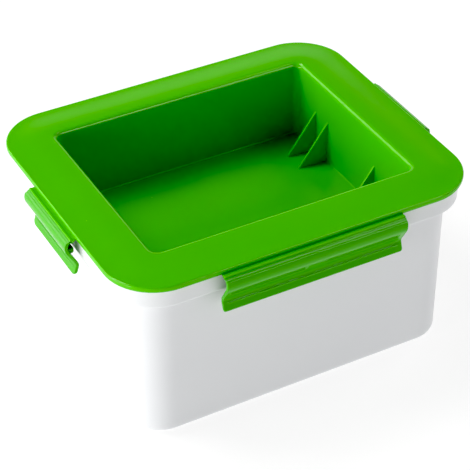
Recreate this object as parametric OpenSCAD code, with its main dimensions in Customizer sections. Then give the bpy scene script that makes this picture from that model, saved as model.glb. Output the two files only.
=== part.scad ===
// Tofu press: a box with a lid whose deep well is the plunger. The well goes down into a
// drainer basket that holds the block, and four snap latches on the lid grip the tub's rim.
// The origin is the centre of the underside, +X runs along the long side, the front faces -Y.

/* [Overall] */
// Height from the table to the top of the lid
total_height = 85; // [78:0.5:110]

/* [Lid] */
// Length of the lid plate along X, without the latches
lid_length = 168; // [160:1:190]
// Width of the lid plate along Y, without the latches
lid_width = 140; // [132:1:160]
// Corner radius of the lid plate
lid_corner = 23.5; // [22:0.5:27]
// Thickness of the lid plate
plate_thickness = 2.8; // [2.6:0.1:3.4]
// Height of the lid's outer edge, lip included
edge_depth = 3.3; // [3.3:0.1:3.8]
// Rounding of the lid's top edge
edge_round = 1.1; // [0.6:0.1:1.3]
// How far the lid's top falls towards its edge
crown_fall = 0.55; // [0.2:0.05:0.7]
// Width of the falling band along the edge
crown_width = 15.5; // [10:0.5:18]
// How far the locating rib reaches down into the tub
plug_depth = 4; // [3:0.5:5]

/* [Press well] */
// Width of the lid's flange between its left or right edge and the well's mouth
end_flange = 21.5; // [21:0.5:28]
// Width of the lid's flange between its front or rear edge and the well's mouth
side_flange = 21.5; // [21:0.5:28]
// Corner radius of the well's mouth
well_corner = 3.5; // [3.2:0.1:6]
// Depth of the well, which sets how far the block is pressed
well_depth = 37.6; // [28:0.2:46]
// Lean of the well's walls, in degrees
well_draft = 1; // [0.5:0.1:1.5]
// Thickness of the well's walls and floor
well_wall = 1.8; // [1.4:0.1:2.4]
// Rounding of the well's mouth
mouth_round = 1.2; // [0.6:0.1:1.5]

/* [Gussets] */
// Height of each gusset up the well's end wall
gusset_height = 20.8; // [12:0.2:26]
// Reach of each gusset along the well's floor
gusset_reach = 15; // [8:0.5:20]
// Thickness of each gusset
gusset_thickness = 1.2; // [0.8:0.1:2]
// Distance between the two gussets of a pair
gusset_spacing = 10.6; // [6:0.2:14]
// Y of the middle of the rear pair
gusset_rear = 27.4; // [14:0.2:30]
// Y of the middle of the front pair
gusset_front = -23.2; // [-30:0.2:-14]

/* [Tub] */
// Thickness of the tub's walls
tub_wall = 2; // [1.6:0.1:2.4]
// How far the tub's wall stands in from the lid's edge, at the base
tub_inset = 8; // [7.5:0.1:9]
// How much the wall leans out from the base to the rim
tub_lean = 0.6; // [0.3:0.1:0.9]
// Thickness of the tub's floor
tub_floor = 2; // [1.6:0.1:2.6]
// Height of the foot ring under the floor
foot_ring = 1; // [0.6:0.1:1.4]
// Width of the foot ring's flat face
foot_width = 3; // [2:0.2:5]
// Outer rounding at the tub's base
base_round = 2.5; // [1.5:0.1:3]
// How far the rim's band stands in from the lid's edge
rim_inset = 2; // [1.8:0.1:2.4]
// Height of the rim's outer band
rim_height = 9.3; // [8:0.1:11]
// Thickness of the rim's band
rim_wall = 1.8; // [1.4:0.1:2.2]

/* [Drainer basket] */
// Clearance between the plunger and the basket's wall, at the mouth
press_gap = 1.8; // [1.2:0.1:2.2]
// Thickness of the basket's walls
basket_wall = 1.6; // [1.2:0.1:2]
// Thickness of the basket's floor
basket_floor = 2; // [1.6:0.1:2.6]
// Corner radius inside the basket's mouth
basket_corner = 5.6; // [4.5:0.1:7]
// Height of the sump that the feet keep open for the water
sump_height = 5; // [4.4:0.2:8]
// Width of the basket's rim flange
basket_flange = 5; // [3:0.2:5.4]
// Diameter of the feet
foot_diameter = 6; // [4:0.5:7]
// Diameter of the drain holes
drain_hole = 4.4; // [3:0.2:5]
// Spacing of the drain holes along X
drain_pitch_x = 11.6; // [11:0.1:12.2]
// Spacing of the drain holes along Y
drain_pitch_y = 11.4; // [10.8:0.1:11.8]
// Least distance from the basket's wall to the centre of a drain hole
drain_margin = 10; // [8:0.5:12]

/* [Latches] */
// Length of the front and rear latches
long_latch = 85; // [70:1:96]
// Length of the left and right latches
short_latch = 42; // [34:1:60]
// Thickness of a latch
latch_wall = 1.5; // [1.2:0.1:1.6]
// How far the outer face of a latch stands out from the lid's edge
latch_reach = 4.9; // [4.6:0.1:5.2]
// Height of a latch's bottom edge below the lid's top
latch_drop = 21.5; // [20:0.1:24]
// Diameter of the hinge bead along a latch's top
bead_diameter = 1.2; // [1:0.1:1.3]
// Half the width of the plain bridge between the two pockets of a long latch
pocket_bridge = 5; // [3:0.5:8]
// Depth of the pockets in the face of a long latch
pocket_depth = 0.6; // [0.3:0.1:0.7]
// Radius of the fine bead along a latch's lip
lip_bead = 0.4; // [0.2:0.1:0.6]

/* [Seal] */
// Width of the silicone seal
seal_width = 3; // [2:0.1:3.4]
// Height of the silicone seal
seal_height = 1.5; // [1.2:0.1:1.6]

/* [Hidden] */

$fn = 64;
fuse = 0.5;              // how far joined pieces of one moulding run into each other
run_clear = 0.05;        // running clearance of a hinge bead in its seat
catch_clear = 0.3;       // clearance between a catch rib and its lug
seal_clear = 0.1;        // side clearance of the seal in its channel

LID = [0.24, 0.72, 0.02];
PLUNGER_SEAL = [0.80, 0.86, 0.78];
TUB = [0.94, 0.94, 0.95];

// The rounded outlines of the lid, the tub and the basket all run round one core rectangle.
core_l = lid_length - 2 * lid_corner;
core_w = lid_width - 2 * lid_corner;

// Heights
plate_under = total_height - plate_thickness;
tub_top = plate_under - 0.3;
band_bottom = tub_top - rim_height;
floor_top = foot_ring + tub_floor;
well_floor = total_height - well_depth;
plunger_under = well_floor - well_wall;
basket_base = floor_top + sump_height;
basket_inside = basket_base + basket_floor;
basket_top = plate_under - plug_depth - 0.7;

// Distances out from the core rectangle
tub_base_out = lid_corner - tub_inset;
tub_top_out = tub_base_out + tub_lean;
mouth_out = tub_top_out - tub_wall;
band_out = lid_corner - rim_inset;
seal_mid = (mouth_out + band_out) / 2 + 0.3;

// The well's mouth lies in from the lid's edge, and has a core rectangle of its own.
well_length = lid_length - 2 * end_flange;
well_width = lid_width - 2 * side_flange;
well_core_l = well_length - 2 * well_corner;
well_core_w = well_width - 2 * well_corner;
well_lean = well_depth * tan(well_draft);
floor_round = 2;

// The basket goes round the plunger, with the press gap on all four sides.
basket_lean = 0.6;
basket_length = well_length + 2 * (well_wall + press_gap);
basket_width = well_width + 2 * (well_wall + press_gap);
basket_core_l = basket_length - 2 * basket_corner;
basket_core_w = basket_width - 2 * basket_corner;
holes_x = drain_count(basket_length, drain_pitch_x);
holes_y = drain_count(basket_width, drain_pitch_y);

// The latch's section, in distance out from the lid's edge and height above the lid's top
hinge = [2.7, -3.6];
bead_r = bead_diameter / 2;
seat_r = bead_r + run_clear;
bulge_r = 5.15;
bulge_c = [latch_reach - latch_wall / 2 - bulge_r, -6.5];
bulge_top = 20;          // angle where the bulge starts
bulge_end = -30;         // angle where the bulge runs into the straight part
waist_r = 2.75;
waist_height = -14.9;    // height where the straight part runs into the waist
flare = 16;              // lean of the finger lip
bead_height = -17.9;     // height of the fine bead on the lip
catch_height = -10.6;    // top of the catch rib
lug_out = -1.3;          // nose of the tub's lugs, from the lid's edge
rib_end = 1;             // how far a catch rib stops short of its pocket's ends
rib_end_short = 5;       // how far the rib of a short latch stops short of the latch's ends

// How many drain holes fit in one direction of the basket's floor.
function drain_count(size, pitch) =
    floor((size - 2 * basket_lean - 2 * drain_margin) / pitch) + 1;

function polar(c, r, a) = [c[0] + r * cos(a), c[1] + r * sin(a)];
function along(p, a, d) = [p[0] + d * cos(a), p[1] + d * sin(a)];
function reversed(v) = [for (i = [len(v) - 1:-1:0]) v[i]];

// Repeats a section round the rounded outline whose straight sides are core_l and core_w long.
// The section's x is the distance out from the core rectangle, its y is the height.
module round_the_core(l, w) {
    for (side = [0, 1]) rotate(180 * side) {
        translate([l / 2, 0, 0]) rotate([90, 0, 0]) linear_extrude(w, center = true) children();
        translate([0, w / 2, 0]) rotate([90, 0, 90]) linear_extrude(l, center = true) children();
        translate([l / 2, w / 2, 0]) rotate_extrude(angle = 90) children();
        translate([-l / 2, w / 2, 0]) rotate(90) rotate_extrude(angle = 90) children();
    }
}

// A quarter disc about a centre, reaching out and down: the rounded lower edge of a section.
module lower_round(centre, r) {
    translate(centre) intersection() {
        circle(r);
        translate([0, -r]) square(r);
    }
}

// Fills the core rectangle between two heights.
module core_plate(l, w, low, high) {
    translate([-l / 2, -w / 2, low]) cube([l, w, high - low]);
}

// A solid with rounded corners: the section from the core rectangle out, and the core filled.
module filled(l, w, low, high) {
    round_the_core(l, w) children();
    core_plate(l, w, low, high);
}

// Draws a section on one side of the lid, 0 right, 90 rear, 180 left, 270 front.
// The section's x is the distance out from the lid's edge, its y the height above the lid's top.
module on_side(angle, length, shift = 0) {
    half = angle % 180 == 0 ? lid_length / 2 : lid_width / 2;
    rotate(angle) translate([half, shift, total_height]) rotate([90, 0, 0])
        linear_extrude(length, center = true) children();
}

// ---- lid ----

// The plate's section: a flat inner part, a falling outer band, a rounded edge and a stepped lip.
module plate_section() {
    top = total_height;
    round_c = [lid_corner - edge_round, top - crown_fall - edge_round];
    step = 0.4;
    lip_in = band_out + 0.3;
    polygon([
        [0, plate_under], [0, top],
        [lid_corner - crown_width, top],
        [round_c[0], top - crown_fall],
        [round_c[0], round_c[1]], [lid_corner, round_c[1]],
        [lid_corner, top - edge_depth + 1],
        [lid_corner - step, top - edge_depth + 0.8],
        [lid_corner - step, top - edge_depth],
        [lip_in, top - edge_depth], [lip_in, plate_under]
    ]);
    translate(round_c) circle(edge_round);
}

// The rib under the plate that centres the lid in the tub's mouth.
module plug_section() {
    outer = mouth_out - 0.4;
    translate([outer - 1.6, plate_under - plug_depth]) square([1.6, plug_depth + fuse]);
}

// The plunger's outer shell, leaning in towards its rounded bottom edge.
module plunger_section() {
    top_r = well_corner + well_wall;
    low_r = top_r - well_lean;
    bottom_round = 2.5;
    polygon([
        [0, plunger_under], [0, plate_under + fuse],
        [top_r, plate_under + fuse],
        [low_r, plunger_under + bottom_round],
        [low_r - bottom_round, plunger_under + bottom_round],
        [low_r - bottom_round, plunger_under]
    ]);
    lower_round([low_r - bottom_round, plunger_under + bottom_round], bottom_round);
}

// The hollow of the well, with a rounded mouth and a rounded floor edge.
module well_section() {
    top = total_height;
    low_r = well_corner - well_lean;
    round_r = min(floor_round, low_r);
    difference() {
        union() {
            polygon([
                [0, well_floor], [0, top + 1],
                [well_corner + mouth_round, top + 1],
                [well_corner + mouth_round, top - mouth_round],
                [well_corner, top - mouth_round],
                [low_r, well_floor + round_r],
                [low_r - round_r, well_floor + round_r],
                [low_r - round_r, well_floor]
            ]);
            lower_round([low_r - round_r, well_floor + round_r], round_r);
        }
        translate([well_corner + mouth_round, top - mouth_round]) circle(mouth_round);
    }
}

module seal_channel_section() {
    translate([seal_mid - seal_width / 2 - seal_clear, plate_under - 1])
        square([seal_width + 2 * seal_clear, seal_height - 0.3 + 1]);
}

// One triangular gusset at the well's right-hand end wall.
module gusset(y) {
    wall = well_length / 2 - well_lean;
    rise = gusset_height * tan(well_draft);
    translate([0, y, 0]) rotate([90, 0, 0]) linear_extrude(gusset_thickness, center = true)
        polygon([
            [wall + fuse, well_floor - fuse], [wall + rise + fuse, well_floor + gusset_height],
            [wall + rise, well_floor + gusset_height], [wall - gusset_reach, well_floor],
            [wall - gusset_reach, well_floor - fuse]
        ]);
}

// The strip along the lid's edge that carries a latch, with the seat for the latch's bead.
module hinge_strip_section() {
    seat_top = polar(hinge, seat_r, 106);
    seat_low = polar(hinge, seat_r, 225);
    difference() {
        polygon([
            [-1, -edge_depth + 0.9], [0.3, -edge_depth + 0.4], [1.1, -edge_depth + 0.4],
            [hinge[0] - 1.1, hinge[1] + 1.2], [hinge[0] - 0.5, hinge[1] + 1.15],
            seat_top, hinge, seat_low,
            [hinge[0] - 0.8, hinge[1] - 0.8], [0.5, hinge[1] - 0.3], [-0.4, -edge_depth + 0.2]
        ]);
        translate(hinge) circle(seat_r);
    }
}

module press_lid() {
    color(LID) {
        difference() {
            union() {
                filled(core_l, core_w, plate_under, total_height) plate_section();
                round_the_core(core_l, core_w) plug_section();
                filled(well_core_l, well_core_w, plunger_under, plate_under + fuse)
                    plunger_section();
                for (angle = [90, 270]) on_side(angle, long_latch) hinge_strip_section();
                for (angle = [0, 180]) on_side(angle, short_latch) hinge_strip_section();
            }
            filled(well_core_l, well_core_w, well_floor, total_height + 1) well_section();
            round_the_core(core_l, core_w) seal_channel_section();
        }
        for (end = [0, 1]) mirror([end, 0, 0])
            for (pair = [gusset_rear, gusset_front])
                for (way = [-1, 1]) gusset(pair + way * gusset_spacing / 2);
    }
}

// ---- seal ----

module lid_seal() {
    color(PLUNGER_SEAL) round_the_core(core_l, core_w)
        translate([seal_mid - seal_width / 2, tub_top + 0.05])
            square([seal_width, seal_height + plate_under - tub_top - 0.35]);
}

// ---- latches ----

// The middle line of a latch from its hinge over the bulge and the waist to the finger lip,
// as [point, direction of the outward normal].
straight_start = polar(bulge_c, bulge_r, bulge_end);
straight_way = bulge_end - 90;
straight_run = (straight_start[1] - waist_height) / -sin(straight_way);
waist_start = along(straight_start, straight_way, straight_run);
waist_c = along(waist_start, bulge_end, waist_r);
waist_end = polar(waist_c, waist_r, 180 + flare);
lip_run = (waist_end[1] + latch_drop - latch_wall / 2) / cos(flare);
lip_end = along(waist_end, flare - 90, lip_run);
bead_run = (waist_end[1] - bead_height) / cos(flare);
bead_place = along(along(waist_end, flare - 90, bead_run), flare, latch_wall / 2 - 0.1);
lip_corner = 1;          // rounding of a long latch's lower corners
short_lip_corner = 2.2;
latch_line = concat(
    [for (i = [0:6]) let (a = bulge_top + (bulge_end - bulge_top) * i / 6)
        [polar(bulge_c, bulge_r, a), a]],
    [for (i = [0:5]) let (a = 180 + bulge_end + (flare - bulge_end) * i / 5)
        [polar(waist_c, waist_r, a), a - 180]],
    [[lip_end, flare]]
);

// The section of a latch without its hinge bead, its catch ribs and the round of its lip.
module latch_section() {
    half = latch_wall / 2;
    outer = [for (p = latch_line) along(p[0], p[1], half)];
    inner = [for (p = latch_line) along(p[0], p[1], -half)];
    polygon(concat(
        [polar(hinge, bead_r * 0.95, 0)], outer,
        reversed(inner), [polar(hinge, bead_r * 0.83, 225)]
    ));
}

// The rib inside a latch that catches below a lug of the tub's rim.
module catch_section() {
    nose = lug_out + catch_clear;
    polygon([
        [nose, catch_height], [2.6, catch_height], [1.2, catch_height - 2.4],
        [nose + 0.35, catch_height - 2.4], [nose, catch_height - 1.8]
    ]);
}

// The shallow pocket in the face of a long latch, behind each catch rib.
module pocket_section() {
    mid = along(straight_start, straight_way, straight_run * 0.35);
    half = latch_wall / 2;
    reach = 1.7;
    low = along(mid, straight_way, reach);
    high = along(mid, straight_way, -reach);
    polygon([
        along(low, bulge_end, half - pocket_depth), along(low, bulge_end, half + 2),
        along(high, bulge_end, half + 2), along(high, bulge_end, half - pocket_depth)
    ]);
}

// Cuts the square corners off both ends of a latch's lip.
module lip_corners(angle, length, r) {
    half = angle % 180 == 0 ? lid_length / 2 : lid_width / 2;
    rotate(angle) translate([half - 3, 0, total_height - latch_drop]) rotate([90, 0, 90])
        linear_extrude(12) for (end = [-1, 1]) translate([end * length / 2, 0]) difference() {
            square(2 * r, center = true);
            translate([-end * r, r]) circle(r);
        }
}

// A latch on one side of the lid. Its catch ribs stand at the given shifts.
module latch(angle, length, shifts, rib_length, pockets) {
    color(LID) difference() {
        union() {
            on_side(angle, length) latch_section();
            on_side(angle, length) translate(hinge) circle(bead_r);
            on_side(angle, length) translate(lip_end) circle(latch_wall / 2);
            on_side(angle, length - 4) translate(bead_place) circle(lip_bead);
            for (s = shifts) on_side(angle, rib_length, s) catch_section();
        }
        if (pockets) for (s = shifts) on_side(angle, pocket_length, s) pocket_section();
        lip_corners(angle, length, pockets ? lip_corner : short_lip_corner);
    }
}

pocket_end = 3;
pocket_length = long_latch / 2 - pocket_bridge - pocket_end;
lug_shift = pocket_bridge + pocket_length / 2;
long_shifts = [-lug_shift, lug_shift];
long_rib = pocket_length - 2 * rib_end;
short_rib = short_latch - 2 * rib_end_short;

module latch_front() latch(270, long_latch, long_shifts, long_rib, true);
module latch_rear() latch(90, long_latch, long_shifts, long_rib, true);
module latch_left() latch(180, short_latch, [0], short_rib, false);
module latch_right() latch(0, short_latch, [0], short_rib, false);

// ---- tub ----

// Wall, rim, base and foot ring of the tub in one section.
module tub_section() {
    rim_plate = 1.8;
    band_in = band_out - rim_wall;
    tip = rim_wall / 2;
    foot_in = tub_base_out - base_round - foot_width;
    inner_base = tub_base_out - tub_wall;
    polygon([
        [0, foot_ring], [foot_in - foot_ring, foot_ring], [foot_in, 0],
        [tub_base_out - base_round, 0], [tub_base_out - base_round, base_round],
        [tub_base_out, base_round],
        [tub_top_out, tub_top - rim_plate], [band_in, tub_top - rim_plate],
        [band_in, band_bottom + tip], [band_out, band_bottom + tip],
        [band_out, tub_top - 0.6], [band_out - 0.6, tub_top],
        [mouth_out + 0.6, tub_top], [mouth_out, tub_top - 0.8],
        [inner_base, floor_top + 1.5], [inner_base - 1.5, floor_top], [0, floor_top]
    ]);
    lower_round([tub_base_out - base_round, base_round], base_round);
    translate([band_in + tip, band_bottom + tip]) circle(tip);
}

// A wedge on the rim's band. The latch's catch rib snaps in below it.
module lug_section() {
    bottom = catch_height + catch_clear;
    polygon([
        [-rim_inset - fuse, bottom + 4], [-rim_inset, bottom + 4], [lug_out, bottom + 0.8],
        [lug_out, bottom], [-rim_inset - fuse, bottom]
    ]);
}

module outer_tub() {
    color(TUB) {
        filled(core_l, core_w, foot_ring, floor_top) tub_section();
        for (angle = [90, 270]) for (s = long_shifts)
            on_side(angle, long_rib - 2, s) lug_section();
        for (angle = [0, 180]) on_side(angle, short_rib - 2) lug_section();
    }
}

// ---- drainer basket ----

// Floor edge, wall and rim flange of the basket.
module basket_section() {
    wall_top = basket_corner + basket_wall;
    wall_low = wall_top - basket_lean;
    polygon([
        [0, basket_base], [wall_low - 1, basket_base], [wall_low, basket_base + 1],
        [wall_top, basket_top - basket_wall], [wall_top + basket_flange, basket_top - basket_wall],
        [wall_top + basket_flange, basket_top], [basket_corner, basket_top],
        [basket_corner - basket_lean, basket_inside + 1],
        [basket_corner - basket_lean - 1, basket_inside],
        [0, basket_inside]
    ]);
}

// The three rows of feet in one direction, in steps from the middle, between the drain holes.
function foot_rows(holes) = [1 - holes / 2, holes % 2 / 2, holes / 2 - 1];

module at_each_foot() {
    for (x = foot_rows(holes_x), y = foot_rows(holes_y))
        translate([x * drain_pitch_x, y * drain_pitch_y, 0]) children();
}

module at_each_hole() {
    for (x = [0:holes_x - 1], y = [0:holes_y - 1])
        translate([(x - (holes_x - 1) / 2) * drain_pitch_x, (y - (holes_y - 1) / 2) * drain_pitch_y, 0])
            children();
}

module drain_basket() {
    color(TUB) {
        difference() {
            filled(basket_core_l, basket_core_w, basket_base, basket_inside) basket_section();
            at_each_hole() translate([0, 0, basket_base - 1])
                cylinder(d = drain_hole, h = basket_floor + 2, $fn = 24);
        }
        at_each_foot() translate([0, 0, floor_top])
            cylinder(d = foot_diameter, h = sump_height + fuse, $fn = 24);
    }
}

outer_tub();
drain_basket();
press_lid();
lid_seal();
latch_front();
latch_rear();
latch_left();
latch_right();
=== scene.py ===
"""Tofu press: a rounded white tub, a green lid whose deep well presses the block, snap latches.

Every piece is a surface worked out with numpy from the sizes of the real mouldings, in millimetres,
and put into the mesh in metres. The origin is the centre of the tub's underside, +X runs along the
long side, the front faces -Y and +Z is up.
"""
from __future__ import annotations

import logging
import math
from dataclasses import dataclass
from enum import Enum

import bmesh
import bpy
import numpy as np
from mathutils import Matrix, Vector

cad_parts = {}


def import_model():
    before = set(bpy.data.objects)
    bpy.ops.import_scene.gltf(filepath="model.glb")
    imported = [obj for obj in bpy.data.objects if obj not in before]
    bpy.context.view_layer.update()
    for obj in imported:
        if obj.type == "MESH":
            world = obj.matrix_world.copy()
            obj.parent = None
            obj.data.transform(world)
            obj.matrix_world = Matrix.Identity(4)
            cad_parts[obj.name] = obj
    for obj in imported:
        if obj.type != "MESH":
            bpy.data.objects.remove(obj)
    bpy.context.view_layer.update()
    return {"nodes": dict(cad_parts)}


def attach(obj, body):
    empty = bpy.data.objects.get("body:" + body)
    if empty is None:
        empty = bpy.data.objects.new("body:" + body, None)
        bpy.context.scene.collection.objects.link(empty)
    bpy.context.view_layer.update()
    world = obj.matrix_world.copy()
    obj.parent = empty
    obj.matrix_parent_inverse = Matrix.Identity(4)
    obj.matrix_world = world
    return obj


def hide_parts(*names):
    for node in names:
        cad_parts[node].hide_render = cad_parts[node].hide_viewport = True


log = logging.getLogger("tofu_press")

MM = 0.001
FRAME_PIXELS = 470
SENSOR_MM = 36.0

Array = np.ndarray
Section = list[tuple[float, float, float]]
Socket = bpy.types.NodeSocket


@dataclass(frozen=True)
class Core:
    """The rectangle that a rounded outline runs round, by its half sides in mm."""

    half_x: float
    half_y: float


LID_TOP = 85.0
LID_HALF = Core(84.0, 70.0)
RIM_CORE = Core(60.5, 46.5)
WELL_CORE = Core(59.0, 45.0)
# The photographed mouth of the well is a little narrower than the plunger, and lies right and back.
MOUTH_CORE = Core(58.2, 45.0)
MOUTH_SHIFT = (0.4, 1.4, 0.0)
# The latches hinge on a line so far out from the lid's edge and up from its top.
HINGE = (2.7, -3.6)
LONG_LATCH, SHORT_LATCH = 85.0, 42.0
CATCH_SHIFT = 22.25


class Side(Enum):
    """A side of the lid, by the angle that turns the right-hand side onto it."""

    RIGHT = 0
    REAR = 90
    LEFT = 180
    FRONT = 270

    @property
    def is_long(self) -> bool:
        """Whether it is the front or the rear."""
        return self in (Side.FRONT, Side.REAR)

    @property
    def edge(self) -> float:
        """Distance of the lid's edge from its middle."""
        return LID_HALF.half_y if self.is_long else LID_HALF.half_x

    @property
    def latch_length(self) -> float:
        """Length of the side's latch."""
        return LONG_LATCH if self.is_long else SHORT_LATCH

    @property
    def catch_places(self) -> tuple[float, ...]:
        """Places along the side of the middles of its lugs and catch ribs."""
        return (-CATCH_SHIFT, CATCH_SHIFT) if self.is_long else (0.0,)


# ---------------------------------------------------------------- plan outlines and sections


def units(angles: Array | float) -> Array:
    """Unit vectors at angles in radians, along a new last axis."""
    return np.stack([np.cos(angles), np.sin(angles)], axis=-1)


def arc(centre: Array | tuple[float, ...], radius: float, degrees: Array) -> Array:
    """Points of a circle at angles: its centre plus the radius times their unit vectors."""
    return np.array(centre) + radius * units(np.radians(degrees))


@dataclass(frozen=True)
class Outline:
    """Places of the points round a rounded rectangle, the same for every core and radius."""

    anchors: Array
    ways: Array

    @staticmethod
    def make(marks_x: Array, marks_y: Array, per_corner: int = 14) -> Outline:
        """Lays out one closed loop, anticlockwise from the front right corner.

        A point is its anchor on the core rectangle, as shares of the half sides, plus the distance
        out times its way. Along a side the anchor moves and the way stays; round a corner the
        anchor stays and the way turns by 90 degrees.

        Args:
            marks_x: shares from -1 to 1 where a long side has points.
            marks_y: shares from -1 to 1 where a short side has points.
            per_corner: faces round each corner.

        Returns:
            The outline.
        """
        turn = np.linspace(0.0, math.pi / 2, per_corner + 1)[1:-1]
        anchors: list[Array] = []
        ways: list[Array] = []
        sides = (
            np.stack([np.ones_like(marks_y), marks_y], 1),
            np.stack([-marks_x, np.ones_like(marks_x)], 1),
            np.stack([-np.ones_like(marks_y), -marks_y], 1),
            np.stack([marks_x, -np.ones_like(marks_x)], 1),
        )
        for index, points in enumerate(sides):
            start = index * math.pi / 2
            anchors += [points, np.tile(points[-1], (len(turn), 1))]
            ways += [np.tile(units(start), (len(points), 1)), units(turn + start)]
        return Outline(np.concatenate(anchors), np.concatenate(ways))

    def rows(self, core: Core, section: Array) -> Array:
        """Carries a section round the outline.

        Args:
            core: the rectangle that the outline runs round.
            section: (rows, 2) distances out from the core and heights.

        Returns:
            (rows, points, 3) places in mm: anchor times half sides, plus way times distance out.
        """
        base = self.anchors * np.array([core.half_x, core.half_y])
        flat = base[None] + section[:, None, :1] * self.ways[None]
        height = np.broadcast_to(section[:, None, 1:], flat.shape[:2] + (1,))
        return np.concatenate([flat, height], axis=2)


def side_marks(half: float, near: float = 0.8) -> Array:
    """Shares along a side: a point near each end, so the flat keeps its shade, and a few between.

    Args:
        half: half the side, in mm.
        near: distance of the first point from the side's end, in mm.

    Returns:
        Shares from -1 to 1.
    """
    inner = 1.0 - near / half
    return np.concatenate([[-1.0], np.linspace(-inner, inner, 7), [1.0]])

OUTLINE = Outline.make(side_marks(RIM_CORE.half_x), side_marks(RIM_CORE.half_y))
SUPPORT_SHARE = 0.3


def filleted(points: Section, steps: int = 6, support: float = 0.3) -> Array:
    """Rounds the corners of a section.

    Where two straight runs meet at the angle p between them, the arc of radius r starts at
    r / tan(p / 2) from the corner and its centre lies at r / sin(p / 2) along the bisector. Its
    points are turned evenly from the first touching point to the second. A support point stands
    just outside each arc so that the flats keep their own shade, at most at SUPPORT_SHARE of them.

    Args:
        points: corners as (x, y, radius); the first and last aren't rounded.
        steps: faces in each arc.
        support: distance of a support point from its arc, in mm.

    Returns:
        (n, 2) points of the rounded section.
    """
    p = np.array([q[:2] for q in points])
    r = np.array([q[2] for q in points])
    here, back, on = p[1:-1], p[:-2], p[2:]
    a = (back - here) / np.linalg.norm(back - here, axis=1, keepdims=True)
    b = (on - here) / np.linalg.norm(on - here, axis=1, keepdims=True)
    half = np.arccos(np.clip((a * b).sum(1), -1, 1)) / 2
    radius = np.maximum(r[1:-1], 1e-3)
    reach = radius / np.tan(half)
    bisector = a + b
    bisector /= np.linalg.norm(bisector, axis=1, keepdims=True)
    centre = here + bisector * (radius / np.sin(half))[:, None]
    first = here + a * reach[:, None] - centre
    sweep = (math.pi - 2 * half) * np.sign(a[:, 1] * b[:, 0] - a[:, 0] * b[:, 1])
    turn = sweep[:, None] * np.linspace(0, 1, steps + 1)[None]
    x = first[:, :1] * np.cos(turn) - first[:, 1:] * np.sin(turn)
    y = first[:, :1] * np.sin(turn) + first[:, 1:] * np.cos(turn)
    arcs = np.stack([x, y], 2) + centre[:, None]
    room_back = np.linalg.norm(back - here, axis=1) - reach
    room_on = np.linalg.norm(on - here, axis=1) - reach
    before = arcs[:, :1] + (a * np.minimum(support, SUPPORT_SHARE * room_back)[:, None])[:, None]
    after = arcs[:, -1:] + (b * np.minimum(support, SUPPORT_SHARE * room_on)[:, None])[:, None]
    body = np.concatenate([before, arcs, after], axis=1).reshape(-1, 2)
    return np.concatenate([p[:1], body, p[-1:]])


def closed_normals(loop: Array) -> Array:
    """Outward normals of a closed loop, long enough that moving by them keeps walls parallel.

    The normal is the mean of the two neighbouring edge normals, divided by the cosine of half
    the turn between them.

    Args:
        loop: (n, 2) points, anticlockwise.

    Returns:
        (n, 2) normals.
    """
    edge = np.roll(loop, -1, axis=0) - loop
    edge /= np.maximum(np.linalg.norm(edge, axis=1, keepdims=True), 1e-9)
    out = np.stack([edge[:, 1], -edge[:, 0]], 1)
    mean = out + np.roll(out, 1, axis=0)
    mean /= np.maximum(np.linalg.norm(mean, axis=1, keepdims=True), 1e-9)
    cosine = np.clip((mean * out).sum(1, keepdims=True), 0.5, 1.0)
    return mean / cosine


def anticlockwise(loop: Array) -> Array:
    """Turns a closed loop anticlockwise by the sign of its shoelace area."""
    x, y = loop[:, 0], loop[:, 1]
    area = (x * np.roll(y, -1) - y * np.roll(x, -1)).sum()
    return loop if area > 0 else loop[::-1]

# ---------------------------------------------------------------- meshes


@dataclass
class Shell:
    """Vertices and faces of one closed surface, in mm."""

    points: Array
    faces: list[tuple[int, ...]]

    @staticmethod
    def from_rows(rows: Array, caps: bool = True) -> Shell:
        """Joins closed loops into a tube, with a flat face over each end.

        Args:
            rows: (rows, points, 3) loops with the same count of points.
            caps: whether the two ends are closed.

        Returns:
            The shell.
        """
        count, around = rows.shape[:2]
        at = np.arange(count * around).reshape(count, around)
        quads = np.stack(
            [at[:-1], np.roll(at[:-1], -1, 1), np.roll(at[1:], -1, 1), at[1:]], axis=2
        ).reshape(-1, 4)
        faces = [tuple(q) for q in quads.tolist()]
        if caps:
            faces += [tuple(at[0][::-1].tolist()), tuple(at[-1].tolist())]
        return Shell(rows.reshape(-1, 3), faces)

    def turned(self, angle: float) -> Shell:
        """The shell turned about the Z axis by an angle in degrees."""
        a = math.radians(angle)
        spin = np.array([[math.cos(a), -math.sin(a), 0], [math.sin(a), math.cos(a), 0], [0, 0, 1]])
        return Shell(self.points @ spin.T, self.faces)

    def moved(self, x: float, y: float, z: float) -> Shell:
        """The shell moved by a distance in mm."""
        return Shell(self.points + np.array([x, y, z]), self.faces)

    def mirrored_x(self) -> Shell:
        """The shell mirrored left to right, with its faces turned the right way round."""
        return Shell(self.points * np.array([-1, 1, 1]), [f[::-1] for f in self.faces])


def joined(shells: list[Shell]) -> Shell:
    """Puts several shells into one.

    Args:
        shells: what is put together.

    Returns:
        One shell with all their points and faces.
    """
    faces: list[tuple[int, ...]] = []
    start = 0
    for shell in shells:
        faces += [tuple(i + start for i in f) for f in shell.faces]
        start += len(shell.points)
    return Shell(np.concatenate([s.points for s in shells]), faces)


def prism(loop: Array, stations: Array, inset: Array, move: Array | None = None) -> Shell:
    """Carries a closed section along a straight line, drawn in at its rounded ends.

    A point is the section's point, less its normal times the inset of the station, at the
    station's place along the line.

    Args:
        loop: (n, 2) section as distance out and height, anticlockwise.
        stations: (m,) places along the line.
        inset: (m,) how far the section is drawn in at each.
        move: (m, n, 2) further moves of the section's points.

    Returns:
        The shell, with x out, y along the line and z up.
    """
    flat = loop[None] - closed_normals(loop)[None] * inset[:, None, None]
    if move is not None:
        flat = flat + move
    along = np.broadcast_to(stations[:, None], flat.shape[:2])
    return Shell.from_rows(np.stack([flat[..., 0], along, flat[..., 1]], axis=2))


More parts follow.
